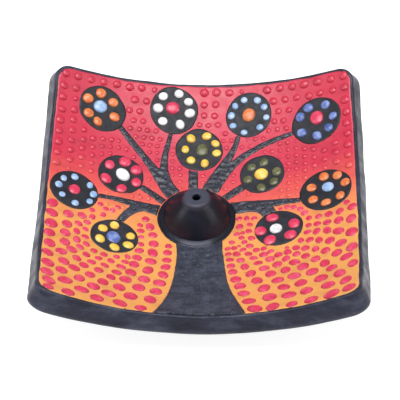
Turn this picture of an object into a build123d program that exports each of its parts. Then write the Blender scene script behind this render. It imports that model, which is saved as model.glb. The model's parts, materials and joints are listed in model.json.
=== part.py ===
"""Square clay incense dish, slumped over a ball-shaped mould, painted with a tree of life in raised dots.

The dish is a slab of even thickness bent to a sphere, so everything that lies on its face follows one centre.
A stick cone is luted on at the foot of the branches, and paint is laid on in thin coats and in raised beads.
Frame: +Z up, origin under the middle of the flat foot, the trunk's foot towards -Y. All sizes in millimetres.
"""

from build123d import *
from math import ceil, cos, hypot, log, pi, radians, sin, sqrt
from collections import namedtuple
import os
import random

# Dish: a slab between two spheres, cut square
DISH_RADIUS = 117.5  # inner face
FLOOR_HEIGHT = 4.2  # clay under the middle of the dish
UNDER_RADIUS = 138.0  # outer face, flatter than the inner one, so that the rim is thicker than the floor
UNDER_DROP = 1.1  # how much of the outer face is rubbed away to make the flat foot
RIM_HALF = 51.7  # from the middle to the rim, half way along a side
RIM_CORNER = 50.0  # from the middle to each side's line, at the corners
CORNER_ROUND = 5.0
RIM_FILLET = 0.85
UNDER_FILLET = 1.6

# Stick cone
CONE_X, CONE_Y = -1.8, -0.5
CONE_FOOT_R = 12.1
CONE_TOP_R = 4.6
CONE_HEIGHT = 11.2  # from the dish's floor
CONE_BELLY = 1.2  # how far the side swells out past a straight slope
CONE_ROOT = 2.0  # length below the floor, before the foot is cut to the dish's curve
CONE_TOP_FILLET = 1.3
STICK_HOLE_R = 1.4
STICK_HOLE_DEPTH = 9.0
SLIP_R = 13.0  # outer edge of the slip that holds the cone
SLIP_LIP = 0.6  # thickness of its rounded lip above the dish
SLIP_REACH = 2.0  # how far up the cone's side it is smeared, from the dish's floor
SLIP_TUCK = 1.1  # how far inside the cone's foot its upper end lies
SLIP_HOLLOW = (-0.12, -0.3)  # how far its face is drawn in between the two

# Paint
COAT = 0.15  # the red and orange ground
TREE_COAT = 0.15  # black over the ground
FIELD_HALF = 50.8
FIELD_CORNER = 49.1
FIELD_ROUND = 4.1
GAP = 0.12  # bare ground left between a bead and whatever is next to it

FLOOR_CENTRE = FLOOR_HEIGHT + DISH_RADIUS  # height of the middle of the dish's sphere
GROUND_R = DISH_RADIUS - COAT
TREE_R = GROUND_R - TREE_COAT

# Blossoms. Offsets are from the middle of the disc; turns are the petals' directions in degrees.
Blossom = namedtuple("Blossom", "x y r heart_dx heart_dy heart_r ring_dx ring_dy ring_r petal_r turns")
MANY_TURNS = (105, 60, 25, -10, -50, -105, -150, 175, 140)
BLOSSOMS = [
    Blossom(-34.6, 38.7, 7.9, -0.8, 0.7, 2.4, -0.6, 0.2, 5.1, 1.75, (90, 35, -25, -100, -145, 155)),
    Blossom(-10.4, 42.0, 8.3, -0.4, 1.0, 2.4, 0.0, 0.5, 5.7, 1.7, (130, 75, 30, -10, -65, -130, 180)),
    Blossom(15.3, 40.2, 7.9, 0.1, 0.2, 2.4, 0.0, -0.2, 6.0, 1.25, MANY_TURNS),
    Blossom(38.2, 34.3, 8.2, 0.2, 1.1, 2.5, -0.2, 0.1, 5.7, 1.65, (115, 55, 0, -40, -85, -145, 155)),
    Blossom(-1.5, 27.9, 8.1, 1.1, 0.2, 2.3, 0.7, 0.3, 5.4, 1.55, (130, 70, 25, -15, -75, -130, 180)),
    Blossom(-27.5, 15.4, 7.7, 0.6, 0.1, 2.5, 0.1, -0.3, 5.5, 1.95, (140, 80, 30, -20, -90, -155)),
    Blossom(20.0, 17.4, 7.6, -0.3, 0.1, 2.4, 0.1, -0.4, 5.1, 1.7, (135, 85, 10, -40, -95, -165)),
    Blossom(-42.4, 4.6, 7.9, 0.1, 0.4, 2.1, 0.7, 0.2, 5.6, 1.3, (140, 100, 40, 0, -35, -90, -140, 175)),
    Blossom(40.9, 6.3, 8.5, 0.8, 1.1, 2.1, 0.6, 0.3, 5.7, 1.7, (100, 55, 10, -45, -95, -145, 160)),
    Blossom(-28.4, -12.2, 7.8, -0.2, -0.5, 2.6, 0.4, -0.2, 5.2, 1.75, (95, 15, -35, -90, -155, 145)),
    Blossom(25.3, -6.8, 8.0, -0.8, -0.1, 2.2, -0.5, -0.3, 5.6, 2.15, (105, 15, -40, -115, 180)),
]

# Branches, from the cone outwards: x, y, width
BRANCHES = [
    [(-8.5, 8.0, 5.4), (-12.7, 14.0, 5.0), (-17.6, 20.8, 3.1), (-22.9, 27.3, 2.5), (-29.4, 35.0, 1.9)],
    [(-8.5, 8.0, 5.0), (-12.2, 15.0, 3.8), (-13.2, 21.0, 2.8), (-12.6, 27.5, 2.0), (-10.9, 35.0, 1.4)],
    [(-3.2, 8.0, 3.4), (-3.2, 15.0, 3.3), (-3.2, 22.0, 3.5)],
    [(0.5, 8.0, 4.0), (4.4, 18.0, 3.4), (8.4, 24.5, 2.8), (10.8, 29.5, 2.0), (12.1, 35.0, 1.8)],
    [(2.0, 8.0, 3.6), (6.2, 17.2, 4.0), (12.3, 24.2, 2.6), (21.0, 29.2, 2.1), (31.5, 31.8, 1.6)],
    [(5.0, 6.0, 3.0), (9.6, 10.2, 2.8), (14.5, 13.6, 3.0)],
    [(6.0, 4.0, 5.2), (14.0, 4.4, 5.0), (22.0, 4.9, 3.6), (34.0, 4.2, 2.1)],
    [(15.5, 4.0, 4.0), (20.5, 3.0, 5.0), (22.8, -0.8, 5.0)],
    [(-8.0, 1.6, 5.6), (-16.0, 2.7, 4.6), (-24.0, 4.4, 2.9), (-36.5, 4.6, 2.1)],
    [(-16.0, 3.0, 3.4), (-21.8, 2.4, 3.8), (-25.0, -1.0, 2.9), (-27.8, -6.0, 2.9)],
    [(-9.0, 3.0, 3.0), (-15.0, 8.0, 2.6), (-21.5, 12.4, 2.3)],
]
TRUNK_LEFT = [(-9.2, -9.0), (-8.0, -15.0), (-8.2, -24.0), (-9.6, -36.0), (-12.0, -45.0), (-15.2, -52.0)]
TRUNK_RIGHT = [(7.0, -7.0), (7.1, -15.0), (8.1, -25.0), (9.4, -34.0), (12.0, -42.5), (15.0, -52.0)]

# Bead rows on the orange: the points a row is drawn through, then its first and last bead's radius
LEFT_ROWS = [
    ([(-10.6, -13.6), (-11.4, -25.0), (-13.9, -37.5), (-18.0, -48.5)], 1.23, 2.46),
    ([(-18.6, -2.0), (-15.6, -11.0), (-16.6, -25.0), (-19.2, -37.0), (-24.6, -47.2)], 1.34, 2.35),
    ([(-20.4, -5.0), (-19.6, -12.0), (-21.5, -25.0), (-24.6, -36.4), (-32.0, -47.0)], 1.01, 2.35),
    ([(-23.6, -21.0), (-26.2, -29.0), (-31.0, -37.4), (-40.6, -47.2)], 1.12, 2.35),
    ([(-27.2, -21.8), (-31.8, -29.6), (-37.8, -37.4), (-46.6, -43.6)], 1.12, 2.35),
    ([(-31.0, -22.0), (-36.6, -29.2), (-47.6, -38.6)], 1.12, 2.35),
    ([(-34.4, -21.0), (-40.0, -27.4), (-48.0, -33.2)], 1.12, 2.24),
    ([(-37.0, -18.6), (-41.4, -23.0), (-48.4, -27.8)], 1.12, 2.24),
    ([(-37.6, -15.0), (-41.8, -18.8), (-48.5, -22.6)], 1.12, 2.13),
    ([(-37.6, -11.4), (-42.0, -14.4), (-48.5, -17.6)], 1.12, 2.13),
    ([(-37.4, -8.0), (-42.0, -10.4), (-48.5, -12.8)], 1.12, 2.13),
    ([(-35.8, -5.0), (-41.0, -5.8), (-48.6, -7.9)], 1.12, 2.02),
    ([(-32.4, -3.0), (-36.2, -1.8)], 1.01, 1.12),
    ([(-27.8, 1.6), (-30.6, -0.6), (-33.6, 1.6)], 0.9, 1.01),
    ([(-46.6, -47.3)], 2.13, 2.13),
    ([(-48.8, -3.2)], 1.9, 1.9),
    ([(-23.4, -2.4)], 1.34, 1.34),
]
RIGHT_ROWS = [
    ([(8.7, -14.4), (9.7, -22.0), (12.0, -32.0), (17.4, -48.6)], 1.01, 2.35),
    ([(10.2, -11.4), (11.6, -17.4), (17.4, -30.0), (22.9, -48.2)], 1.01, 2.46),
    ([(12.4, -13.4), (18.6, -22.2), (24.8, -32.8), (28.9, -48.2)], 0.9, 2.46),
    ([(14.2, -11.6), (23.6, -22.6), (31.0, -34.4), (34.8, -47.8)], 1.01, 2.46),
    ([(18.4, -14.0), (28.6, -22.8), (36.8, -33.4), (40.8, -47.2)], 1.01, 2.58),
    ([(22.4, -16.8), (34.6, -23.0), (43.0, -33.6), (46.4, -46.0)], 1.12, 2.24),
    ([(28.0, -16.6), (38.2, -20.4), (46.4, -27.8), (48.4, -37.4)], 1.12, 2.24),
    ([(32.4, -14.2), (42.4, -17.6), (48.4, -23.0)], 1.12, 2.02),
    ([(34.6, -10.6), (42.0, -12.2), (48.6, -15.6)], 1.12, 2.13),
    ([(35.0, -7.6), (42.0, -8.2), (48.6, -9.2)], 1.12, 1.79),
    ([(35.4, -4.2), (42.0, -4.6), (49.0, -4.0)], 1.12, 1.57),
    ([(47.6, -1.2), (49.2, 2.0)], 1.12, 1.46),
    ([(12.4, -0.6), (17.2, -0.8)], 1.23, 1.01),
    ([(12.6, -4.2), (15.8, -3.6)], 1.23, 1.01),
    ([(11.6, -7.6), (15.6, -6.6)], 1.01, 1.12),
    ([(13.2, -9.6), (16.6, -9.8)], 1.01, 1.23),
    ([(26.0, 2.0), (31.4, 1.4), (34.0, -1.6)], 0.9, 1.12),
]

# Bead rows on the red follow the rim: distance in from the edge of the paint, bead radius
RED_ROWS = [(2.0, 1.5), (6.1, 1.4), (9.9, 1.25), (13.3, 1.1), (16.4, 1.0), (19.2, 0.95)]
RED_ROWS += [(21.9 + 2.7 * i, 0.9) for i in range(10)]
RED_ENDS_Y = 2.0  # the red rows stop here, where the orange ones take over
BEAD_PITCH = 1.27  # centre to centre, in bead diameters
RED_PITCH = 1.5
WANDER = 0.16  # how far a bead strays from its row, as a share of its radius
SIZES_VARY = 0.08
LEAST_SHARE = 0.62  # a bead squeezed to less than this share of its size is left out
FLAT_BEAD = 0.27  # height over radius, on the orange
TALL_BEAD = 0.42  # on the red
PETAL_BEAD = 0.34
HEART_BEAD = 0.3
BRANCH_BEAD_R = 0.5
BRANCH_BEAD = 0.7
BRANCH_PITCH = 2.3
TRUNK_BEAD_R = 0.85
TRUNK_BEAD = 0.25
TRUNK_PITCH = 2.35
TRUNK_BARE = 0.4  # smooth border down each side of the trunk
SIZE_STEP = 0.05  # bead radii are rounded to this, so that alike beads share one shape

strays = random.Random(11)
lenses = {}


def sag(radius, r):
    """Height of a sphere's wall above its lowest point, r away from the middle."""
    return radius - sqrt(radius * radius - r * r)


def dish_z(x, y):
    """Height of the dish's face."""
    return FLOOR_HEIGHT + sag(DISH_RADIUS, hypot(x, y))


def ball(radius, centre_z):
    return Pos(0, 0, centre_z) * Sphere(radius)


def pillow(half, corner_half, rounding, z=0.0):
    """A square whose four sides bow outwards or inwards: half at their middles, corner_half at their ends."""
    ends = [(-1, -1), (1, -1), (1, 1), (-1, 1)]
    sides = []
    for (ax, ay), (bx, by) in zip(ends, ends[1:] + ends[:1]):
        middle = ((ax + bx) / 2 * half, (ay + by) / 2 * half)
        start, end = (ax * corner_half, ay * corner_half), (bx * corner_half, by * corner_half)
        sides.append(ThreePointArc(start, middle, end))
    face = make_face(Wire(sides))
    return Pos(0, 0, z) * fillet(face.vertices(), rounding)


def shell_piece(outline, inner, outer):
    """The part of a thin coat that lies above a flat outline, between two radii from the ball's centre."""
    column = extrude(outline, amount=FLOOR_CENTRE / 2)
    return (column & ball(outer, FLOOR_CENTRE)) - ball(inner, FLOOR_CENTRE)


def clay_tray():
    """Slab between the two spheres. Its edge stands square to the face, so all walls point at the centre."""
    top = FLOOR_CENTRE / 2
    spread = FLOOR_CENTRE / (FLOOR_CENTRE - dish_z(RIM_HALF, 0))
    corner_spread = FLOOR_CENTRE / (FLOOR_CENTRE - dish_z(RIM_CORNER, RIM_CORNER))
    low = pillow(RIM_HALF * spread, RIM_CORNER * corner_spread, CORNER_ROUND * spread)
    high = Pos(0, 0, top) * scale(low, by=(FLOOR_CENTRE - top) / FLOOR_CENTRE)
    block = loft([low, high], ruled=True)
    slab = block & ball(UNDER_RADIUS, UNDER_RADIUS - UNDER_DROP)
    slab = slab - ball(DISH_RADIUS, FLOOR_CENTRE)
    face = slab.faces().sort_by(lambda f: f.distance_to(Vertex(0, 0, FLOOR_HEIGHT)))[0]
    slab = fillet(face.edges(), RIM_FILLET)
    below = Vertex(0, RIM_HALF * 0.75, 0)
    under = slab.faces().sort_by(lambda f: f.distance_to(below))[0]
    return fillet([e for e in under.edges() if e.bounding_box().max.Z > FLOOR_HEIGHT], UNDER_FILLET)


def cone_axis():
    return Pos(CONE_X, CONE_Y, FLOOR_HEIGHT)


def incense_cone():
    """Blunt cone with a swelling side, standing on the dish, with a blind hole for the stick."""
    foot = (CONE_FOOT_R, -CONE_ROOT)
    shoulder = (CONE_TOP_R, CONE_HEIGHT)
    slope = Vector(shoulder[0] - foot[0], shoulder[1] - foot[1]).normalized()
    belly = (
        (foot[0] + shoulder[0]) / 2 + slope.Y * CONE_BELLY,
        (foot[1] + shoulder[1]) / 2 - slope.X * CONE_BELLY,
    )
    with BuildSketch(Plane.XZ) as profile:
        with BuildLine():
            Line((0, foot[1]), foot)
            ThreePointArc(foot, belly, shoulder)
            Line(shoulder, (0, CONE_HEIGHT))
            Line((0, CONE_HEIGHT), (0, foot[1]))
        make_face()
        fillet(profile.vertices().sort_by_distance((CONE_TOP_R, 0, CONE_HEIGHT))[0], CONE_TOP_FILLET)
    body = cone_axis() * revolve(profile.sketch, Axis.Z)
    body = body & ball(DISH_RADIUS, FLOOR_CENTRE)
    bit = Cylinder(STICK_HOLE_R, STICK_HOLE_DEPTH * 2, align=(Align.CENTER, Align.CENTER, Align.MIN))
    return body - cone_axis() * Pos(0, 0, CONE_HEIGHT - STICK_HOLE_DEPTH) * bit


def slip_ring(cone):
    """Slip smeared round the cone's foot: it runs off the cone's side and ends in a low rounded lip."""
    shore = sag(DISH_RADIUS, SLIP_R)
    lip = (SLIP_R - SLIP_LIP, shore)
    crest = (lip[0], lip[1] + SLIP_LIP)
    shoulder = (lip[0] + SLIP_LIP * cos(pi / 4), lip[1] + SLIP_LIP * sin(pi / 4))
    reach = (CONE_FOOT_R - SLIP_TUCK, SLIP_REACH)
    hollow = ((crest[0] + reach[0]) / 2 + SLIP_HOLLOW[0], (crest[1] + reach[1]) / 2 + SLIP_HOLLOW[1])
    inside = CONE_FOOT_R / 2
    with BuildSketch(Plane.XZ) as profile:
        with BuildLine():
            Polyline(reach, (inside, SLIP_REACH), (inside, -CONE_ROOT), (SLIP_R, -CONE_ROOT), (SLIP_R, shore))
            ThreePointArc((SLIP_R, shore), shoulder, crest)
            ThreePointArc(crest, hollow, reach)
        make_face()
    ring = cone_axis() * revolve(profile.sketch, Axis.Z)
    return (ring & ball(DISH_RADIUS, FLOOR_CENTRE)) - cone


def stroke(points):
    """A brush stroke: a smooth line with a width at each point."""
    left = []
    right = []
    for i, (x, y, width) in enumerate(points):
        ax, ay, _ = points[max(i - 1, 0)]
        bx, by, _ = points[min(i + 1, len(points) - 1)]
        along = hypot(bx - ax, by - ay)
        nx, ny = (ay - by) / along, (bx - ax) / along
        left.append((x + nx * width / 2, y + ny * width / 2))
        right.append((x - nx * width / 2, y - ny * width / 2))
    return between(left, right)


def between(left, right):
    """The flat shape between two smooth edges that run the same way, closed straight across at both ends."""
    ends = [Line(left[-1], right[-1]), Line(right[0], left[0])]
    return make_face(Wire([Spline(left), ends[0], Spline(right), ends[1]]))


def disc(x, y, radius):
    return Pos(x, y) * Circle(radius)


def limbs_outline(field):
    """Trunk and branches, less the discs painted over their ends and the slip round the cone."""
    figure = between(TRUNK_LEFT, TRUNK_RIGHT)
    for points in BRANCHES:
        figure = figure + stroke(points)
    for b in BLOSSOMS:
        figure = figure - disc(b.x, b.y, b.r)
    figure = (figure & field) - disc(CONE_X, CONE_Y, SLIP_R)
    return figure


def lens(radius, height, base):
    """A bead of paint: a dome whose underside is a piece of the sphere it sits on, of radius base."""
    key = (round(radius / SIZE_STEP), round(height, 3), base)
    if key not in lenses:
        r = key[0] * SIZE_STEP
        edge = sag(base, r)
        with BuildSketch(Plane.XZ) as profile:
            with BuildLine():
                ThreePointArc((0, 0), (r / 2, sag(base, r / 2)), (r, edge))
                dome = (r * r + (height - edge) ** 2) / (2 * (height - edge))
                half = r / 2
                ThreePointArc((r, edge), (half, height - sag(dome, half)), (0, height))
                Line((0, height), (0, 0))
            make_face()
        lenses[key] = revolve(profile.sketch, Axis.Z)
    return lenses[key]


def on_face(x, y, base):
    """The place on a sphere about the dish's centre above x, y, with +Z pointing at that centre."""
    z = FLOOR_CENTRE - sqrt(base * base - x * x - y * y)
    up = Vector(-x, -y, FLOOR_CENTRE - z)
    return Plane(origin=(x, y, z), z_dir=up).location


def beads(spots, shape, base):
    """One solid for each x, y and radius in spots."""
    return Compound([lens(r, r * shape, base).moved(on_face(x, y, base)) for x, y, r in spots])


def walk(points, first, last, pitch):
    """Bead places from one end of a smooth row to the other, spaced as their growing size asks."""
    if len(points) == 1:
        return [(*points[0], first)]
    line = Spline(points) if len(points) > 2 else Line(*points)
    grow = last / first
    size = (last - first) / log(grow) if last != first else first
    steps = max(1, round(line.length / (2 * size * pitch)))
    spots = []
    for i in range(steps + 1):
        share = i / steps
        if last != first:
            share = (grow**share - 1) / (grow - 1)
        here = line.position_at(share)
        spots.append((here.X, here.Y, first + (last - first) * share))
    return spots


def astray(x, y, r):
    """A bead moved and sized a little off, as by hand."""
    turn = strays.uniform(0, 2 * pi)
    off = r * WANDER * strays.random()
    return x + off * cos(turn), y + off * sin(turn), r * (1 + strays.uniform(-SIZES_VARY, SIZES_VARY))


def room(x, y, figure, taken):
    """The radius of the largest bead that fits on the ground at x, y."""
    bow = FIELD_HALF - FIELD_CORNER
    gaps = [
        FIELD_HALF - bow * (y / FIELD_CORNER) ** 2 - abs(x),
        FIELD_HALF - bow * (x / FIELD_CORNER) ** 2 - abs(y),
        hypot(x - CONE_X, y - CONE_Y) - SLIP_R - GAP,
        figure.distance_to(Vertex(x, y, 0)) - GAP,
    ]
    gaps += [hypot(x - b.x, y - b.y) - b.r - GAP for b in BLOSSOMS]
    gaps += [hypot(x - a, y - b) - r - GAP for a, b, r in taken]
    return min(gaps)


def keep(spots, figure, taken):
    """Adds the beads that fit. A squeezed bead is made smaller, down to a least share of its size."""
    for x, y, r in spots:
        x, y, r = astray(x, y, r)
        fits = min(r, room(x, y, figure, taken))
        if fits > r * LEAST_SHARE:
            taken.append((x, y, fits))


def red_row(inset, radius):
    """One row that runs up the left side, along the back and down the right side."""
    side = FIELD_HALF - inset
    foot = RED_ENDS_Y
    count_side = max(1, ceil((side - foot) / (2 * radius * RED_PITCH)))
    count_back = max(1, ceil(2 * side / (2 * radius * RED_PITCH)))
    rise = [(side, foot + (side - foot) * i / count_side) for i in range(count_side)]
    across = [(-side + 2 * side * i / count_back, side) for i in range(count_back + 1)]
    places = [(-x, y) for x, y in rise] + across + rise
    bow = (FIELD_HALF - FIELD_CORNER) / FIELD_HALF**3
    return [(x * (1 - bow * y * y), y * (1 - bow * x * x), radius) for x, y in places]


def ground_beads(figure):
    """All the red beads: those on the orange first, then those on the red."""
    taken = []
    for rows in (LEFT_ROWS, RIGHT_ROWS):
        for points, first, last in rows:
            keep(walk(points, first, last, BEAD_PITCH), figure, taken)
    low = list(taken)
    for inset, radius in RED_ROWS:
        keep(red_row(inset, radius), figure, taken)
    high = taken[len(low):]
    return low, high


def branch_spots():
    """Small beads down the middle of each branch, where the branch shows."""
    spots = []
    for points in BRANCHES:
        line = Spline([(x, y) for x, y, _ in points])
        steps = int(line.length / BRANCH_PITCH)
        for i in range(steps + 1):
            here = line.position_at(i / steps)
            spots.append(astray(here.X, here.Y, BRANCH_BEAD_R))
    kept = []
    for x, y, r in spots:
        bare = hypot(x - CONE_X, y - CONE_Y) > SLIP_R + r + GAP
        bare = bare and all(hypot(x - b.x, y - b.y) > b.r + r + GAP for b in BLOSSOMS)
        if bare and all(hypot(x - a, y - b) > r + s + GAP for a, b, s in kept):
            kept.append((x, y, r))
    return kept


def trunk_spots():
    """Low beads in staggered rows that cover the trunk."""
    left = Spline(TRUNK_LEFT)
    right = Spline(TRUNK_RIGHT)
    margin = TRUNK_BEAD_R + GAP + TRUNK_BARE
    rows = int((left.length - 2 * (TRUNK_BEAD_R + GAP)) / TRUNK_PITCH)
    spots = []
    for j in range(rows):
        share = (j + 1) / (rows + 1)
        a = left.position_at(share)
        b = right.position_at(share)
        across = b.X - a.X - 2 * margin
        count = int(across / TRUNK_PITCH)
        for i in range(count + 1):
            t = (i + 0.5 * (j % 2)) / (count + 0.5)
            if t > 1:
                continue
            x, y, r = astray(a.X + margin + across * t, a.Y + (b.Y - a.Y) * t, TRUNK_BEAD_R)
            if hypot(x - CONE_X, y - CONE_Y) > SLIP_R + r + GAP and y - r > -FIELD_HALF:
                if all(hypot(x - c, y - d) > r + s + GAP for c, d, s in spots):
                    spots.append((x, y, r))
    return spots


def petals(b):
    """The ring of beads round a blossom's heart."""
    x, y = b.x + b.ring_dx, b.y + b.ring_dy
    ring = [(b.ring_r * cos(radians(turn)), b.ring_r * sin(radians(turn))) for turn in b.turns]
    return [astray(x + dx, y + dy, b.petal_r) for dx, dy in ring]


def write(name, shape):
    shape.label = name
    export_step(shape, f"parts/{name}.step")


def main():
    os.makedirs("parts", exist_ok=True)
    field = pillow(FIELD_HALF, FIELD_CORNER, FIELD_ROUND)
    figure = limbs_outline(field)
    write("clay_tray", clay_tray())
    cone = incense_cone()
    write("incense_cone", cone)
    write("slip_ring", slip_ring(cone))
    write("ground_paint", shell_piece(field - disc(CONE_X, CONE_Y, SLIP_R), GROUND_R, DISH_RADIUS))
    write("trunk_and_branches", shell_piece(figure, TREE_R, GROUND_R))
    for i, b in enumerate(BLOSSOMS, 1):
        heart = (b.x + b.heart_dx, b.y + b.heart_dy, b.heart_r)
        write(f"blossom_{i:02d}_disc", shell_piece(disc(b.x, b.y, b.r), TREE_R, GROUND_R))
        write(f"blossom_{i:02d}_petals", beads(petals(b), PETAL_BEAD, TREE_R))
        write(f"blossom_{i:02d}_heart", beads([heart], HEART_BEAD, TREE_R))
    low, high = ground_beads(figure)
    write("beads_lower_left", beads([s for s in low if s[0] < 0], FLAT_BEAD, GROUND_R))
    write("beads_lower_right", beads([s for s in low if s[0] >= 0], FLAT_BEAD, GROUND_R))
    write("beads_upper_left", beads([s for s in high if s[0] < 0], TALL_BEAD, GROUND_R))
    write("beads_upper_right", beads([s for s in high if s[0] >= 0], TALL_BEAD, GROUND_R))
    write("branch_beads", beads(branch_spots(), BRANCH_BEAD, TREE_R))
    write("trunk_beads", beads(trunk_spots(), TRUNK_BEAD, TREE_R))


main()
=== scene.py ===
"""Looks for a square clay incense dish with a tree of life in raised paint dots.

Everything is in metres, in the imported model's frame: +Z up, the trunk's foot towards -Y.
The dish's face is a piece of a ball, so places on it are given in plan, and heights from the ball's wall.
"""

import json
import math
import random

import bmesh
import bpy
import numpy as np
from mathutils import Matrix, Vector, noise


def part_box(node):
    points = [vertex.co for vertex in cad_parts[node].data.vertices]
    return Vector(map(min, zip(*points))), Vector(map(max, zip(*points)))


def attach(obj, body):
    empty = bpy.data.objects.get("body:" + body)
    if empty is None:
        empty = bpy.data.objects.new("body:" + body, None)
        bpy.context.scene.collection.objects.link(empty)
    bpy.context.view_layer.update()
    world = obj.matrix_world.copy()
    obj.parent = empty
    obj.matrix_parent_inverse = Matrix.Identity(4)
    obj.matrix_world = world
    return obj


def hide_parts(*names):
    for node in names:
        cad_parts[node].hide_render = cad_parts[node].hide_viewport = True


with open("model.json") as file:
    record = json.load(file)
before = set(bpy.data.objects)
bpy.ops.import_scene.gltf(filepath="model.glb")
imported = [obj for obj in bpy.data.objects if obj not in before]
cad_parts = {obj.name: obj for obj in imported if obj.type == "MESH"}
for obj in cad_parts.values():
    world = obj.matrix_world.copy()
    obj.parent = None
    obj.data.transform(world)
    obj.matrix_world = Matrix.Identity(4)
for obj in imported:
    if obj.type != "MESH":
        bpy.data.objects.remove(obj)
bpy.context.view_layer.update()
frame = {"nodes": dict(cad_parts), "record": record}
nodes = frame["nodes"]
MM = 0.001

# Dish, as in the CAD model
DISH_RADIUS = 117.5 * MM
FLOOR_HEIGHT = 4.2 * MM
BALL_CENTRE = FLOOR_HEIGHT + DISH_RADIUS
UNDER_RADIUS = 138.0 * MM
UNDER_DROP = 1.1 * MM
RIM_HALF = 51.7 * MM
RIM_CORNER = 50.0 * MM
CORNER_ROUND = 5.0 * MM
RIM_ROUND = 0.9 * MM  # this and the next are a little rounder than in the CAD model
UNDER_ROUND = 1.7 * MM
AROUND = 480  # points round the rim
FACE_ROWS = 25  # rings of points on the clay's face
ROUND_STEPS = 8  # steps round each of the slab's two rounded edges
WALL_STEPS = 10
UNDER_STEPS = 40
STICK_HOLE_R = 1.4 * MM
STICK_HOLE_DEPTH = 9.0 * MM

# Paint
COAT = 0.15 * MM
PAINT_INSET = 0.9 * MM  # bare rim outside the ground colour
RED_ABOVE = 21 * MM  # the ground is all red behind this line
ORANGE_BELOW = -9 * MM  # and all orange in front of this one
WASH_SHARE = 0.5  # how unevenly the two are brushed into each other, as a share of the way between the lines
TRUNK_PALE_BELOW = -9 * MM  # the trunk is painted paler in front of this line, a painted sheen
BRANCH_DARK_ABOVE = 6 * MM  # and the branches painted darker behind this one, a painted shade
TUCK = 0.03 * MM  # how deep a coat's edge reaches into the coat under it
SKIRT = 0.04 * MM  # and how deep a bead's does
RELIEF_PITCH = 0.34 * MM  # grid of the tree's and the discs' meshes
OUTLINE_MARGIN = 0.6 * MM  # room round a CAD outline for its wavering


# ---------------------------------------------------------------- camera, floor and light

CAMERA_TARGET = Vector((-0.8, 8.4, 4.2)) * MM
CAMERA_DISTANCE = 655.5 * MM
CAMERA_ELEVATION = math.radians(47.36)
CAMERA_AZIMUTH = math.radians(1.5)
CAMERA_ROLL = math.radians(-0.5)
CAMERA_LENS = 176.3
SENSOR_WIDTH = 36
FLOOR_WIDTH = 6


def make_camera():
    az, el, roll = CAMERA_AZIMUTH, CAMERA_ELEVATION, CAMERA_ROLL
    back = Vector((math.sin(az) * math.cos(el), -math.cos(az) * math.cos(el), math.sin(el)))
    right = Vector((math.cos(az), math.sin(az), 0))
    up = back.cross(right)
    rolled_right = math.cos(roll) * right + math.sin(roll) * up
    rolled_up = math.cos(roll) * up - math.sin(roll) * right
    data = bpy.data.cameras.new("camera")
    data.lens = CAMERA_LENS
    data.sensor_width = SENSOR_WIDTH
    data.clip_start = 0.01
    camera = bpy.data.objects.new("camera", data)
    bpy.context.scene.collection.objects.link(camera)
    turn = Matrix((rolled_right, rolled_up, back)).transposed().to_4x4()
    camera.matrix_world = Matrix.Translation(CAMERA_TARGET + back * CAMERA_DISTANCE) @ turn
    bpy.context.scene.camera = camera


def make_floor():
    bpy.ops.mesh.primitive_plane_add(size=FLOOR_WIDTH, location=(0, 0, -0.1 * MM))
    floor = bpy.context.object
    floor.name = "floor"
    mat, shader, _ = new_material("floor_paper", (0.46, 0.46, 0.46), 0.9)
    shader.inputs["Emission Color"].default_value = (1, 1, 1, 1)
    shader.inputs["Emission Strength"].default_value = 0.87
    floor.data.materials.append(mat)


def area_light(name, place, target, size, power):
    data = bpy.data.lights.new(name, "AREA")
    data.shape = "RECTANGLE"
    data.size, data.size_y = size
    data.energy = power
    light = bpy.data.objects.new(name, data)
    bpy.context.scene.collection.objects.link(light)
    light.location = place
    light.rotation_euler = (Vector(target) - Vector(place)).to_track_quat("-Z", "Y").to_euler()


def make_lights():
    area_light("overhead", (0.0, -0.05, 0.95), (0, 0, 0), (0.75, 0.6), 9.0)
    area_light("left", (-0.8, -0.15, 0.5), (0, 0, 0.01), (0.3, 0.5), 2.0)
    area_light("right", (0.8, -0.15, 0.5), (0, 0, 0.01), (0.3, 0.5), 2.0)
    world = bpy.data.worlds.new("studio")
    world.use_nodes = True
    background = world.node_tree.nodes["Background"]
    background.inputs["Color"].default_value = (1, 1, 1, 1)
    background.inputs["Strength"].default_value = 0.28
    bpy.context.scene.world = world
    bpy.context.scene.view_settings.view_transform = "Standard"


# ---------------------------------------------------------------- materials


def srgb(r, g, b):
    """A colour given as 0-255 screen values, as the linear values that a shader takes."""
    return tuple((c / 255 / 12.92) if c <= 10 else ((c / 255 + 0.055) / 1.055) ** 2.4 for c in (r, g, b))


def new_material(name, colour, roughness, specular=0.5, coat=0.0):
    mat = bpy.data.materials.new(name)
    mat.use_nodes = True
    shader = mat.node_tree.nodes["Principled BSDF"]
    shader.inputs["Base Color"].default_value = (*colour, 1)
    shader.inputs["Roughness"].default_value = roughness
    shader.inputs["Specular IOR Level"].default_value = specular
    shader.inputs["Coat Weight"].default_value = coat
    shader.inputs["Coat Roughness"].default_value = 0.18
    return mat, shader, mat.node_tree


def add(tree, kind, **values):
    node = tree.nodes.new(kind)
    for key, value in values.items():
        if key in node.inputs:
            node.inputs[key].default_value = value
        else:
            setattr(node, key, value)
    return node


def object_noise(tree, scale, stretch=(1, 1, 1), detail=3.0, rough=0.55, offset=0.0):
    """Noise fixed to the object: scale is in cells per metre, stretch multiplies it along each axis."""
    place = add(tree, "ShaderNodeTexCoord")
    turn = add(tree, "ShaderNodeMapping")
    turn.inputs["Scale"].default_value = stretch
    turn.inputs["Location"].default_value = (offset, offset, offset)
    cloud = add(tree, "ShaderNodeTexNoise", Scale=scale, Detail=detail, Roughness=rough)
    tree.links.new(place.outputs["Object"], turn.inputs["Vector"])
    tree.links.new(turn.outputs["Vector"], cloud.inputs["Vector"])
    return cloud.outputs["Fac"]


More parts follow.
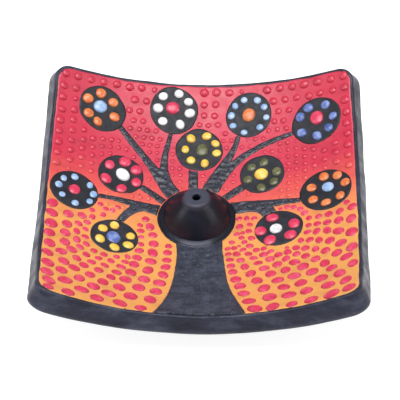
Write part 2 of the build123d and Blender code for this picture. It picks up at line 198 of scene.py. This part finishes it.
def ramp(tree, source, stops):
    """A colour ramp; stops are (position, linear colour)."""
    node = add(tree, "ShaderNodeValToRGB")
    elements = node.color_ramp.elements
    while len(elements) < len(stops):
        elements.new(0.5)
    for element, (position, colour) in zip(elements, stops):
        element.position = position
        element.color = (*colour, 1)
    tree.links.new(source, node.inputs["Fac"])
    return node.outputs["Color"]


def grey(v):
    return (v, v, v)


def mix(tree, a, b, factor, mode="MIX"):
    node = add(tree, "ShaderNodeMix", data_type="RGBA", blend_type=mode)
    for socket, value in ((node.inputs[6], a), (node.inputs[7], b), (node.inputs[0], factor)):
        if isinstance(value, bpy.types.NodeSocket):
            tree.links.new(value, socket)
        elif isinstance(value, tuple):
            socket.default_value = (*value, 1)
        else:
            socket.default_value = value
    return node.outputs[2]


def bump(tree, shader, layers, distance):
    """Stacks bump layers, each (height socket, strength)."""
    last = None
    for height, strength in layers:
        node = add(tree, "ShaderNodeBump", Strength=strength, Distance=distance)
        tree.links.new(height, node.inputs["Height"])
        if last:
            tree.links.new(last, node.inputs["Normal"])
        last = node.outputs["Normal"]
    tree.links.new(last, shader.inputs["Normal"])


def vary_roughness(tree, shader, source, low, high):
    tree.links.new(ramp(tree, source, [(0.3, grey(low)), (0.7, grey(high))]), shader.inputs["Roughness"])


def attribute(tree, name):
    return add(tree, "ShaderNodeAttribute", attribute_name=name).outputs["Fac"]


def along_y(tree, start, end):
    """0 up to start, 1 from end on, and even between them, along the dish's Y."""
    place = add(tree, "ShaderNodeTexCoord")
    split = add(tree, "ShaderNodeSeparateXYZ")
    share = add(tree, "ShaderNodeMapRange")
    share.inputs["From Min"].default_value = start
    share.inputs["From Max"].default_value = end
    tree.links.new(place.outputs["Object"], split.inputs[0])
    tree.links.new(split.outputs["Y"], share.inputs["Value"])
    return share.outputs["Result"]


def dot_paint(name, colour, dark, light, roughness=0.32):
    """Thick acrylic: a bead's skin, darker towards the foot as painted shade round its edge, with soft
    cloudy pigment.
    """
    mat, shader, tree = new_material(name, colour, roughness, coat=0.25)
    cloud = object_noise(tree, 420, detail=4)
    skin = ramp(tree, cloud, [(0.3, dark), (0.5, colour), (0.72, light)])
    # painted shade: the bead is darkened towards its foot, standing in for the shading round its edge
    foot = ramp(tree, attribute(tree, "rise"), [(0.0, grey(0.5)), (0.42, grey(0.76)), (0.6, grey(1.0))])
    tree.links.new(mix(tree, skin, foot, 1.0, "MULTIPLY"), shader.inputs["Base Color"])
    vary_roughness(tree, shader, object_noise(tree, 900), roughness - 0.08, roughness + 0.12)
    pits = object_noise(tree, 1500, detail=2)
    bump(tree, shader, [(pits, 0.25), (object_noise(tree, 5200), 0.12)], 0.08 * MM)
    return mat


def ground_colour(tree):
    """Red behind, coral between, orange in front, brushed into each other along X."""
    wash = object_noise(tree, 60, stretch=(0.5, 1.6, 1), detail=5, rough=0.65)
    shift = add(tree, "ShaderNodeMath", operation="MULTIPLY_ADD")
    shift.inputs[1].default_value = WASH_SHARE
    tree.links.new(wash, shift.inputs[0])
    tree.links.new(along_y(tree, ORANGE_BELOW, RED_ABOVE), shift.inputs[2])
    moved = add(tree, "ShaderNodeMath", operation="SUBTRACT")
    moved.inputs[1].default_value = WASH_SHARE / 2
    tree.links.new(shift.outputs[0], moved.inputs[0])
    orange, apricot = srgb(228, 160, 86), srgb(230, 136, 84)
    coral, red = srgb(226, 94, 82), srgb(200, 44, 72)
    return ramp(tree, moved.outputs[0], [(0.0, orange), (0.3, apricot), (0.52, coral), (0.95, red)])


def ground_paint(name, roughness=0.42):
    """The ground's acrylic: with wear in clouds, flecked with dark grit and streaked by the brush."""
    mat, shader, tree = new_material(name, srgb(225, 70, 80), roughness, coat=0.1)
    cloud = object_noise(tree, 130, stretch=(1, 1.5, 1), detail=6, rough=0.6, offset=3)
    wear_and_painted_highlight = ramp(tree, cloud, [(0.3, grey(0.82)), (0.5, grey(1.0)), (0.75, (1.0, 0.97, 0.95))])
    base = mix(tree, ground_colour(tree), wear_and_painted_highlight, 1.0, "MULTIPLY")
    flecks = ramp(tree, object_noise(tree, 420, detail=1, offset=5), [(0.775, grey(1)), (0.8, grey(0.35))])
    base = mix(tree, base, flecks, 1.0, "MULTIPLY")
    # painted shade: darker towards each upper bead's foot; the ground coat's rise is 1 all over, so the coat
    # stays even
    foot = ramp(tree, attribute(tree, "rise"), [(0.0, grey(0.8)), (0.3, grey(0.97)), (1.0, grey(1.0))])
    tree.links.new(mix(tree, base, foot, 1.0, "MULTIPLY"), shader.inputs["Base Color"])
    vary_roughness(tree, shader, object_noise(tree, 300, detail=4), roughness - 0.1, roughness + 0.14)
    streaks = object_noise(tree, 700, stretch=(0.12, 1, 1), detail=3)
    bump(tree, shader, [(streaks, 0.35), (object_noise(tree, 2600), 0.2)], 0.1 * MM)
    return mat


def tree_paint(name, dark, middle, light, roughness=0.5, specular=0.35):
    """Charcoal relief paint, slightly blue, with a grain of fine pits and a soft satin skin."""
    mat, shader, tree = new_material(name, middle, roughness, specular=specular)
    cloud = object_noise(tree, 240, detail=6, rough=0.65)
    skin = ramp(tree, cloud, [(0.28, dark), (0.5, middle), (0.74, light)])
    # darker towards the edges: the figure's dark outline, and painted shade round the beads' feet
    foot = ramp(tree, attribute(tree, "rise"), [(0.0, grey(0.35)), (0.6, grey(0.8)), (1.0, grey(1.0))])
    skin = mix(tree, skin, foot, 1.0, "MULTIPLY")
    # painted sheen and shade: the figure is paler in front and darker behind
    behind = along_y(tree, TRUNK_PALE_BELOW, BRANCH_DARK_ABOVE)
    painted_sheen_and_shade = ramp(tree, behind, [(0.0, grey(1.0)), (1.0, grey(0.66))])
    tree.links.new(mix(tree, skin, painted_sheen_and_shade, 1.0, "MULTIPLY"), shader.inputs["Base Color"])
    vary_roughness(tree, shader, object_noise(tree, 500), 0.8 * roughness, 1.3 * roughness)
    pits = object_noise(tree, 1100, detail=3)
    bump(tree, shader, [(pits, 0.4), (object_noise(tree, 4200), 0.2)], 0.1 * MM)
    return mat


def clay_slip(name):
    """Dark slip over clay, in pale and dark clouds, with small pale specks and level wipe marks."""
    mat, shader, tree = new_material(name, srgb(40, 43, 52), 0.5, specular=0.3)
    cloud = object_noise(tree, 90, stretch=(1, 1, 2.4), detail=7, rough=0.62)
    skin = ramp(tree, cloud, [(0.3, srgb(24, 25, 37)), (0.52, srgb(43, 44, 60)), (0.78, srgb(78, 81, 98))])
    specks = ramp(tree, object_noise(tree, 1300, detail=2, offset=7), [(0.66, grey(0)), (0.74, grey(1))])
    skin = mix(tree, skin, srgb(84, 86, 94), mix(tree, grey(0), specks, 0.3))
    tree.links.new(skin, shader.inputs["Base Color"])
    vary_roughness(tree, shader, object_noise(tree, 220, detail=5), 0.26, 0.6)
    wiped = object_noise(tree, 380, stretch=(1, 1, 3), detail=5)
    bump(tree, shader, [(wiped, 0.5), (object_noise(tree, 2400, detail=2), 0.25)], 0.16 * MM)
    return mat


def black_glaze(name):
    """Near-black satin glaze, painted paler where a piece's rise comes close to 1: a painted highlight on
    the cone's top and the collar's front.
    """
    mat, shader, tree = new_material(name, srgb(24, 26, 36), 0.4, specular=0.28)
    cloud = object_noise(tree, 150, detail=5)
    skin = ramp(tree, cloud, [(0.3, srgb(16, 18, 27)), (0.6, srgb(24, 26, 38)), (0.8, srgb(38, 41, 56))])
    # painted highlight: paler grey where the rise nears 1, on the cone's top and the collar's front
    wear_and_painted_highlight = ramp(tree, attribute(tree, "rise"), [(0.0, grey(0.0)), (0.86, grey(0.0)), (0.95, grey(1.0))])
    skin = mix(tree, skin, srgb(74, 76, 92), mix(tree, grey(0), wear_and_painted_highlight, 0.75))
    tree.links.new(skin, shader.inputs["Base Color"])
    vary_roughness(tree, shader, object_noise(tree, 260, detail=4), 0.28, 0.44)
    runs = object_noise(tree, 260, stretch=(1, 1, 0.5))
    bump(tree, shader, [(runs, 0.35), (object_noise(tree, 1900), 0.12)], 0.12 * MM)
    return mat


# Each paint's middle, dark and light tones
COLOURS = {
    "red": (srgb(216, 56, 92), srgb(198, 40, 74), srgb(230, 92, 122)),
    "white": (srgb(236, 236, 238), srgb(206, 208, 214), srgb(250, 250, 250)),
    "orange": (srgb(224, 122, 64), srgb(200, 94, 44), srgb(238, 158, 104)),
    "light_blue": (srgb(152, 184, 226), srgb(118, 154, 206), srgb(196, 214, 238)),
    "blue": (srgb(96, 118, 184), srgb(68, 88, 154), srgb(144, 164, 214)),
    "yellow": (srgb(238, 196, 74), srgb(214, 160, 44), srgb(248, 220, 128)),
    "olive": (srgb(92, 94, 58), srgb(70, 72, 44), srgb(130, 132, 96)),
}


# ---------------------------------------------------------------- places on the dish


def square_outline(half, corner_half, rounding, count):
    """Plan points round a square with bowed sides and round corners, evenly turned about the middle."""
    bow = half - corner_half
    points = []
    for i in range(count):
        turn = 2 * math.pi * i / count
        c, s = abs(math.cos(turn)), abs(math.sin(turn))
        low, high = 0.0, half * 1.5
        for _ in range(40):
            reach = (low + high) / 2
            x, y = reach * c, reach * s
            side_x = half - bow * (y / half) ** 2
            side_y = half - bow * (x / half) ** 2
            over_x, over_y = x - (side_x - rounding), y - (side_y - rounding)
            if over_x > 0 and over_y > 0:
                outside = math.hypot(over_x, over_y) > rounding
            else:
                outside = over_x > rounding or over_y > rounding
            if outside:
                high = reach
            else:
                low = reach
        points.append((low * math.cos(turn), low * math.sin(turn)))
    return points


def wobble(x, y, z, scale, seed):
    """Smooth noise from -1 to 1; scale is the size of a lump, in the units of x, y and z."""
    return noise.noise(Vector((x / scale + seed * 7.3, y / scale - seed * 3.1, z / scale + seed)))


def on_dish(x, y, rise=0.0):
    """The point above plan x, y on the dish's face, raised towards the ball's centre."""
    reach = DISH_RADIUS - rise
    share = reach / DISH_RADIUS
    depth = math.sqrt(DISH_RADIUS**2 - x * x - y * y)
    return (x * share, y * share, BALL_CENTRE - depth * share)


def mesh_object(name, points, faces, material, attributes=None):
    """A smooth-shaded mesh; attributes are lists with one value for each point."""
    mesh = bpy.data.meshes.new(name)
    mesh.from_pydata(points, [], faces)
    mesh.validate()
    mesh.polygons.foreach_set("use_smooth", [True] * len(mesh.polygons))
    for key, values in (attributes or {}).items():
        mesh.attributes.new(key, "FLOAT", "POINT").data.foreach_set("value", values)
    mesh.materials.append(material)
    mesh.update()
    obj = bpy.data.objects.new(name, mesh)
    bpy.context.scene.collection.objects.link(obj)
    return obj


def settle(obj, slot, *replaced):
    """Fixes a finished piece to the dish in place of the CAD nodes it stands for."""
    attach(obj, "root")
    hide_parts(*replaced)
    return obj


def grid_faces(rows, columns):
    """Quads between rings of points, each ring closed on itself."""
    faces = []
    for r in range(rows - 1):
        for c in range(columns):
            d = (c + 1) % columns
            faces.append((r * columns + c, r * columns + d, (r + 1) * columns + d, (r + 1) * columns + c))
    return faces


# ---------------------------------------------------------------- clay


def under_depth(angle):
    """Distance from the ball's centre to the underside, angle away from straight down."""
    offset = BALL_CENTRE - (UNDER_RADIUS - UNDER_DROP)
    ball = offset * math.cos(angle) + math.sqrt(UNDER_RADIUS**2 - (offset * math.sin(angle)) ** 2)
    return min(ball, BALL_CENTRE / math.cos(angle))


def slab_section(edge_angle):
    """Half section of the slab, from the face's middle to the foot's.

    Its points are (angle from straight down, distance from the ball's centre).
    """
    section = [(edge_angle * 0.97 * i / (FACE_ROWS - 1), DISH_RADIUS) for i in range(FACE_ROWS)]
    depth = under_depth(edge_angle)
    for i in range(ROUND_STEPS + 1):
        turn = math.pi / 2 * i / ROUND_STEPS
        away = RIM_ROUND * (1 - math.sin(turn)) / DISH_RADIUS
        section.append((edge_angle - away, DISH_RADIUS + RIM_ROUND * (1 - math.cos(turn))))
    wall_top = DISH_RADIUS + RIM_ROUND
    wall_foot = depth - UNDER_ROUND
    for i in range(1, WALL_STEPS):
        section.append((edge_angle, wall_top + (wall_foot - wall_top) * i / WALL_STEPS))
    for i in range(ROUND_STEPS + 1):
        turn = math.pi / 2 * i / ROUND_STEPS
        away = UNDER_ROUND * (1 - math.cos(turn)) / depth
        angle = edge_angle - away
        section.append((angle, under_depth(angle) - UNDER_ROUND * (1 - math.sin(turn))))
    last = section[-1][0]
    for i in range(1, UNDER_STEPS + 1):
        angle = last * (1 - i / UNDER_STEPS)
        section.append((angle, under_depth(angle)))
    return section


def clay_tray(material):
    """The slab, with the uneven edges and the dented wall of clay that was cut and wiped by hand."""
    outline = square_outline(RIM_HALF, RIM_CORNER, CORNER_ROUND, AROUND)
    sections = []
    for x, y in outline:
        reach = math.hypot(x, y) + 0.28 * MM * wobble(x, y, 0, 14 * MM, 1)
        sections.append(slab_section(math.asin(reach / DISH_RADIUS)))
    rows = len(sections[0])
    points = []
    for r in range(rows):
        for (x, y), section in zip(outline, sections):
            angle, distance = section[r]
            flat = math.hypot(x, y)
            away = distance * math.sin(angle)
            px, py = x / flat * away, y / flat * away
            pz = BALL_CENTRE - distance * math.cos(angle)
            if r >= FACE_ROWS and pz > 0.4 * MM:
                dent = 0.16 * MM * wobble(px, py, pz, 9 * MM, 2) + 0.07 * MM * wobble(px, py, pz, 3 * MM, 3)
                px += x / flat * dent
                py += y / flat * dent
                pz += 0.5 * dent
            points.append((px, py, max(pz, 0.0)))
    tray = mesh_object("dish_clay", points, grid_faces(rows, AROUND), material)
    weld(tray, 0.02 * MM)
    return settle(tray, "clay", "clay_tray")


def weld(obj, distance):
    """Merges points that fall together, such as the ends of a ring of quads."""
    mesh = bmesh.new()
    mesh.from_mesh(obj.data)
    bmesh.ops.remove_doubles(mesh, verts=mesh.verts, dist=distance)
    bmesh.ops.recalc_face_normals(mesh, faces=mesh.faces)
    mesh.to_mesh(obj.data)
    mesh.free()


TRUNK_FOOT = 13.5 * MM  # a little under half the trunk's width where it meets the rim
PAINT_SHORT = 1.3 * MM  # how much further from the rim the colour stops there


def ground_skin(material):
    """The coloured coat over the face, thin and wavering at its edge."""
    half, corner_half, rounding = (size - PAINT_INSET for size in (RIM_HALF, RIM_CORNER, CORNER_ROUND))
    outline = square_outline(half, corner_half, rounding, AROUND)
    rows = 130
    sunk = -0.05 * MM
    points = []
    for r in range(rows):
        share = (r / (rows - 1)) ** 0.8
        for x, y in outline:
            under_trunk = PAINT_SHORT if y < -RIM_CORNER / 2 and abs(x) < TRUNK_FOOT else 0.0
            edge = 1 + (0.32 * MM * wobble(x, y, 0, 5 * MM, 4) - under_trunk) / math.hypot(x, y)
            px, py = x * share * edge, y * share * edge
            brushed = 0.035 * MM * wobble(px * 0.25, py, 0, 1.6 * MM, 5)
            brushed += 0.04 * MM * wobble(px, py, 0, 6 * MM, 6)
            left = (1 - share) * math.hypot(x, y)
            rise = COAT * min(1.0, left / (0.3 * MM)) ** 0.5 + brushed if left > 0 else sunk
            points.append(on_dish(px, py, max(rise, sunk)))
    level = {"rise": [1.0] * len(points)}
    skin = mesh_object("ground_coat", points, grid_faces(rows, AROUND), material, attributes=level)
    weld(skin, 0.02 * MM)
    return settle(skin, "ground", "ground_paint")


# ---------------------------------------------------------------- cone


def lathe(name, profile, middle, material, around=96, uneven=0.0, seed=0):
    """Turns (radius, height) points about an upright axis, with the wavering of a hand-pinched form."""
    low, high = min(h for _, h in profile), max(h for _, h in profile)
    points, rises = [], []
    for radius, height in profile:
        for i in range(around):
            turn = 2 * math.pi * i / around
            x, y = math.cos(turn), math.sin(turn)
            r = radius + uneven * min(1.0, radius / (4 * MM)) * wobble(x, y, height / (6 * MM), 1.1, seed)
            points.append((middle[0] + r * x, middle[1] + r * y, height))
            rises.append((height - low) / (high - low))
    obj = mesh_object(name, points, grid_faces(len(profile), around), material, attributes={"rise": rises})
    weld(obj, 0.01 * MM)
    return obj


def arc(cx, cz, radius, start, end, steps):
    """Points (radius, height) along an arc; angles in degrees from the outward direction."""
    turns = [math.radians(start + (end - start) * i / steps) for i in range(steps + 1)]
    return [(cx + radius * math.cos(t), cz + radius * math.sin(t)) for t in turns]


def incense_cone(material):
    """The blunt cone with a swelling side, a rounded top and the stick hole."""
    low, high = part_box("incense_cone")
    middle = ((low.x + high.x) / 2, (low.y + high.y) / 2)
    foot, top = (high.x - low.x) / 2 + 0.1 * MM, high.z
    flat, lip = 3.3 * MM, 0.35 * MM
    rounding, belly = 1.3 * MM, 1.08 * MM
    sunk = low.z - 0.5 * MM
    profile = [(0.0, sunk), (foot, sunk)]
    shoulder = (flat + rounding, top - 1.1 * MM)
    for i in range(1, 33):
        t = i / 32
        r = foot + (shoulder[0] - foot) * t + belly * 4 * t * (1 - t)
        profile.append((r, low.z + (shoulder[1] - low.z) * t))
    profile += arc(flat, top - rounding, rounding, 20, 90, 8)
    mouth = STICK_HOLE_R + lip
    profile += [(mouth + (flat - mouth) * (1 - i / 6), top) for i in range(1, 7)]
    profile += arc(mouth, top - lip, lip, 90, 180, 6)
    profile += [(STICK_HOLE_R, top - STICK_HOLE_DEPTH * i / 10) for i in range(1, 11)]
    profile.append((0.0, top - STICK_HOLE_DEPTH))
    cone = lathe("stick_cone", profile, middle, material, around=120, uneven=0.22 * MM, seed=8)
    return settle(cone, "cone_glaze", "incense_cone")


SLIP_PUSHED = 0.7 * MM  # how much further the slip was smeared towards the trunk


def slip_ring(material):
    """Slip smeared from the cone's side down to a rounded lip on the dish, uneven all the way round."""
    low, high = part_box("slip_ring")
    cone_low, cone_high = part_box("incense_cone")
    middle = ((cone_low.x + cone_high.x) / 2, (cone_low.y + cone_high.y) / 2)
    outer = (high.x - low.x) / 2
    lip, reach, side = 0.6 * MM, 1.1 * MM, 11.2 * MM
    sunk, hollow = 0.2 * MM, 0.55 * MM
    inside = side - 1.2 * MM
    section = [(outer, -sunk)] + arc(outer - lip, 0.0, lip, 0, 90, 8)
    for i in range(1, 15):
        t = i / 14
        drawn_in = hollow * t * (1 - t) * (1 + (1 - t) ** 2)
        section.append((side + (outer - lip - side) * (1 - t), lip * (1 - t) + reach * t - drawn_in))
    section += [(inside, reach), (inside, -sunk)]
    around = 180
    points = []
    for r, h in section:
        for i in range(around):
            way = 2 * math.pi * i / around
            x, y = math.cos(way), math.sin(way)
            uneven = 0.3 * MM * wobble(x, y, 0, 0.7, 9) + 0.1 * MM * wobble(x, y, 0, 0.16, 10)
            uneven = (uneven + SLIP_PUSHED * max(0.0, -y) ** 3) * (r > side)
            thick = h * (1 + 0.2 * wobble(x, y, 0, 0.5, 11))
            points.append(on_dish(middle[0] + (r + uneven) * x, middle[1] + (r + uneven) * y, thick))
    faces = grid_faces(len(section), around)
    last = (len(section) - 1) * around
    faces += [(last + i, last + (i + 1) % around, (i + 1) % around, i) for i in range(around)]
    # painted highlight: the collar's front gets a rise near 1, which the black glaze paints paler
    painted_front_highlight = [max(0.0, -math.sin(2 * math.pi * i / around)) ** 1.2 for i in range(around)] * len(section)
    ring = mesh_object("slip_collar", points, faces, material, attributes={"rise": painted_front_highlight})
    weld(ring, 0.001 * MM)
    return settle(ring, "slip", "slip_ring")


# ---------------------------------------------------------------- flat painted shapes


def welded_plan(node):
    """A CAD node's points and triangles with split points joined again."""
    mesh = bmesh.new()
    mesh.from_mesh(nodes[node].data)
    bmesh.ops.remove_doubles(mesh, verts=mesh.verts, dist=0.002 * MM)
    mesh.verts.ensure_lookup_table()
    mesh.faces.ensure_lookup_table()
    return mesh


def facing_centre(face):
    """Whether a face of a thin coat is its upper side."""
    towards = Vector((0, 0, BALL_CENTRE)) - face.calc_center_median()
    return face.normal.dot(towards.normalized()) > 0.7


def plan_outline(node):
    """The edges of a coat's upper side, as an array of plan segments."""
    mesh = welded_plan(node)
    rim = [e for e in mesh.edges if sum(facing_centre(f) for f in e.link_faces) == 1]
    segments = np.array([[e.verts[0].co[:2], e.verts[1].co[:2]] for e in rim])
    mesh.free()
    return segments


def signed_distance(points, segments):
    """Distance of plan points to an outline, positive inside it."""
    a, b = segments[:, 0], segments[:, 1]
    along = b - a
    length = np.maximum((along**2).sum(1), 1e-18)
    result = np.empty(len(points))
    for start in range(0, len(points), 4000):
        p = points[start : start + 4000, None, :]
        t = np.clip(((p - a) * along).sum(2) / length, 0, 1)
        near = np.sqrt((((a + along * t[..., None]) - p) ** 2).sum(2)).min(1)
        crosses = (a[:, 1] > p[..., 1]) != (b[:, 1] > p[..., 1])
        height = np.where(along[:, 1] == 0, 1e-12, along[:, 1])
        x = a[:, 0] + (p[..., 1] - a[:, 1]) / height * along[:, 0]
        inside = (crosses & (p[..., 0] < x)).sum(1) % 2 == 1
        result[start : start + 4000] = np.where(inside, near, -near)
    return result


def plan_box(low, high):
    """A CAD node's extents in plan, with room for an outline that wavers."""
    margin = OUTLINE_MARGIN
    return (low.x - margin, low.y - margin, high.x + margin, high.y + margin)


def relief_patch(name, distance, box, thickness, edge, texture, material):
    """A coat with rounded edges: a plan grid inside an outline, its outer points drawn onto the outline.

    distance(points) gives how far inside the outline each plan point is; texture(x, y) adds to the height,
    which reaches its full thickness at edge from the outline.
    """
    pitch = RELIEF_PITCH
    xs = np.arange(box[0], box[2] + pitch, pitch)
    ys = np.arange(box[1], box[3] + pitch, pitch)
    plan = np.stack(np.meshgrid(xs, ys), -1).reshape(-1, 2)
    inside = distance(plan)
    columns = len(xs)
    corners = np.arange(len(plan)).reshape(len(ys), columns)
    sides = [corners[:-1, :-1], corners[:-1, 1:], corners[1:, 1:], corners[1:, :-1]]
    quads = np.stack(sides, -1).reshape(-1, 4)
    quads = quads[(inside[quads] > 0.1 * pitch).any(1)]
    used = np.unique(quads)
    loose = used[inside[used] < 0.35 * pitch]
    step = pitch * 0.02
    for _ in range(2):
        at = plan[loose]
        here = distance(at)
        slope_x = (distance(at + [step, 0]) - here) / step
        slope_y = (distance(at + [0, step]) - here) / step
        size = np.maximum(slope_x**2 + slope_y**2, 0.25)
        plan[loose] = at - np.stack([slope_x, slope_y], 1) * (here / size)[:, None]
    inside[loose] = 0
    number = {int(v): i for i, v in enumerate(used)}
    points, rises = [], []
    for v in used:
        x, y = plan[v]
        share = min(1.0, max(0.0, inside[v]) / edge)
        swell = math.sqrt(1 - (1 - share) ** 2)
        points.append(on_dish(x, y, COAT - TUCK + thickness * swell + texture(x, y) * swell))
        rises.append(swell)
    faces = [[number[int(v)] for v in quad] for quad in quads]
    obj = mesh_object(name, points, faces, material, attributes={"rise": rises})
    weld(obj, 0.004 * MM)
    return obj


def hammered(x, y):
    """Bumps a little longer across the dish than along it, with hollows too shallow to bare the ground."""
    waves = 0.34 * MM * wobble(x * 0.8, y, 0, 1.5 * MM, 12) + 0.08 * MM * wobble(x, y, 0, 0.6 * MM, 13)
    return max(waves, -0.14 * MM)


def soft_coat(x, y):
    return 0.03 * MM * wobble(x, y, 0, 1.6 * MM, 14)


def tree_figure(material):
    """Trunk and branches as one coat, its outline taken from the CAD node and wavering a little."""
    segments = plan_outline("trunk_and_branches")
    low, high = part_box("trunk_and_branches")

    def distance(points):
        uneven = [0.12 * MM * wobble(x, y, 0, 2.2 * MM, 15) for x, y in points]
        return signed_distance(points, segments) + np.array(uneven)

    box = plan_box(low, high)
    figure = relief_patch("tree_figure", distance, box, 0.26 * MM, 0.45 * MM, hammered, material)
    return settle(figure, "tree", "trunk_and_branches")


def blossom_disc(node, material):
    """One round black disc under a blossom's beads, not quite round."""
    low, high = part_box(node)
    x0, y0, radius = (low.x + high.x) / 2, (low.y + high.y) / 2, (high.x - low.x) / 2
    seed = sum(map(ord, node)) % 97

    def distance(points):
        away = points - [x0, y0]
        reach = np.hypot(away[:, 0], away[:, 1]) + 1e-9
        uneven = [wobble(x, y, 0, 0.8, seed) for x, y in away / reach[:, None]]
        return radius + 0.35 * MM * np.array(uneven) - reach

    box = plan_box(low, high)
    disc = relief_patch(node + "_paint", distance, box, 0.24 * MM, 0.5 * MM, soft_coat, material)
    return settle(disc, "tree", node)


# ---------------------------------------------------------------- beads of paint


def bead_places(node):
    """Plan centre and radius of each separate bead of a CAD node, from its extents, in a steady order."""
    mesh = welded_plan(node)
    unseen = set(mesh.verts)
    places = []
    while unseen:
        heap = [min(unseen, key=lambda v: v.index)]
        unseen.discard(heap[0])
        island = []
        while heap:
            vertex = heap.pop()
            island.append(vertex.co)
            for edge in vertex.link_edges:
                other = edge.other_vert(vertex)
                if other in unseen:
                    unseen.discard(other)
                    heap.append(other)
        xs = [p.x for p in island]
        ys = [p.y for p in island]
        middle = ((max(xs) + min(xs)) / 2, (max(ys) + min(ys)) / 2)
        tilt = math.cos(math.asin(math.hypot(*middle) / DISH_RADIUS))
        across = math.sqrt((max(xs) - min(xs)) * (max(ys) - min(ys))) / 2
        places.append((middle[0], middle[1], across / (0.5 + 0.5 * tilt)))
    mesh.free()
    return sorted(places)


def dome(rng, x, y, radius, base, height, oval, peak, around, rings):
    """One bead: an uneven low dome whose skirt runs just under the coat. Gives points, faces and rises."""
    up = (Vector((0, 0, BALL_CENTRE)) - Vector(on_dish(x, y))).normalized()
    side = Vector((1, 0, 0)).cross(up).normalized()
    ahead = up.cross(side)
    long_way = rng.uniform(0, math.pi)
    stretch = 1 + rng.uniform(0, oval)
    lobes = [(k, rng.uniform(-1, 1) * 0.03 / k, rng.uniform(0, 6.28)) for k in (2, 3, 5)]
    lean, lean_way = rng.uniform(0, 0.16), rng.uniform(0, 6.28)
    tall = height * rng.uniform(0.85, 1.15)
    points, rises = [], []
    for j in range(rings):
        share = math.sin(math.pi / 2 * (rings - j) / rings)
        lift = max(0.0, 1 - share**2.3) ** 0.62
        for i in range(around):
            turn = 2 * math.pi * i / around
            swell = 1 + sum(a * math.cos(k * turn + p) for k, a, p in lobes)
            along = math.cos(turn - long_way) * stretch
            over = math.sin(turn - long_way) / stretch
            u = along * math.cos(long_way) - over * math.sin(long_way)
            v = along * math.sin(long_way) + over * math.cos(long_way)
            u = u * share * swell + lean * (1 - share) * math.cos(lean_way)
            v = v * share * swell + lean * (1 - share) * math.sin(lean_way)
            px = x + ahead.x * u * radius + side.x * v * radius
            py = y + ahead.y * u * radius + side.y * v * radius
            points.append(on_dish(px, py, base - SKIRT + (tall + SKIRT) * lift))
            rises.append(lift)
    tip_x = x + lean * radius * math.cos(lean_way) * ahead.x
    tip_y = y + lean * radius * math.sin(lean_way) * side.y
    points.append(on_dish(tip_x, tip_y, base + tall * (1 + peak)))
    rises.append(1.0)
    faces = grid_faces(rings, around)
    last = (rings - 1) * around
    faces += [(last + i, last + (i + 1) % around, len(points) - 1) for i in range(around)]
    faces.append(tuple(range(around))[::-1])
    return points, faces, rises


def bead_group(
    name, node, slot, material, base, shape, oval=0.06, peak=0.0, around=28, rings=8, seed=1, spread=1.0
):
    """All the beads of one CAD node in one mesh.

    shape is height over radius, before spread widens the bead; base is the height of the coat it sits on.
    """
    rng = random.Random(seed)
    points, faces, rises = [], [], []
    for x, y, radius in bead_places(node):
        wide = radius * spread
        some, cells, lifts = dome(rng, x, y, wide, base, radius * shape, oval, peak, around, rings)
        start = len(points)
        points += some
        rises += lifts
        faces += [tuple(v + start for v in cell) for cell in cells]
    group = mesh_object(name, points, faces, material, attributes={"rise": rises})
    return settle(group, slot, node)


# ---------------------------------------------------------------- put together

ON_GROUND = COAT
ON_TREE = COAT + 0.22 * MM
BLOSSOM_COUNT = 11
LOWER_SPREAD = 1.07  # the beads on the orange are drawn this much wider than their CAD shapes


def slot_of(node):
    return next(s["material_slot"] for s in frame["record"]["subparts"] if s["node"] == node)


def make_dish():
    clay_tray(clay_slip("dark_clay_slip"))
    ground = ground_paint("ground_red_to_orange")
    ground_skin(ground)
    glaze = black_glaze("black_glaze")
    incense_cone(glaze)
    slip_ring(glaze)
    tones = (srgb(38, 41, 54), srgb(55, 58, 73), srgb(76, 80, 97))
    charcoal = tree_paint("charcoal_relief_paint", *tones, 0.36, 0.5)
    dark = tree_paint("blossom_black_paint", srgb(29, 31, 39), srgb(40, 42, 51), srgb(57, 60, 71))
    wet = tree_paint("branch_bead_black", srgb(36, 38, 48), srgb(50, 54, 66), srgb(72, 76, 90), 0.14, 1.0)
    tree_figure(charcoal)
    bead_group("branch_bead_paint", "branch_beads", "tree", wet, ON_TREE, 0.8, around=16, rings=5, seed=21)
    name, node = "trunk_bead_paint", "trunk_beads"
    bead_group(name, node, "tree", charcoal, ON_TREE, 0.16, oval=0.3, around=20, rings=5, seed=22)
    upper = ground_paint("ground_paint_beads", 0.36)
    for side in ("left", "right"):
        name, node = f"bead_paint_upper_{side}", f"beads_upper_{side}"
        bead_group(name, node, "red", upper, ON_GROUND, 0.42, peak=0.05, seed=23)
    dots = {colour: dot_paint(f"dot_paint_{colour}", *shades) for colour, shades in COLOURS.items()}
    for side in ("left", "right"):
        name, node = f"bead_paint_lower_{side}", f"beads_lower_{side}"
        bead_group(name, node, "red", dots["red"], ON_GROUND, 0.24, oval=0.14, seed=24, spread=LOWER_SPREAD)
    for number in range(1, BLOSSOM_COUNT + 1):
        name = f"blossom_{number:02d}"
        blossom_disc(f"{name}_disc", dark)
        for part, shape in (("petals", 0.34), ("heart", 0.28)):
            node = f"{name}_{part}"
            tone = slot_of(node)
            fine = {"oval": 0.1, "around": 40, "rings": 10, "seed": 30 + number}
            bead_group(f"{node}_paint", node, tone, dots[tone], ON_TREE, shape, **fine)


make_camera()
make_floor()
make_lights()
make_dish()
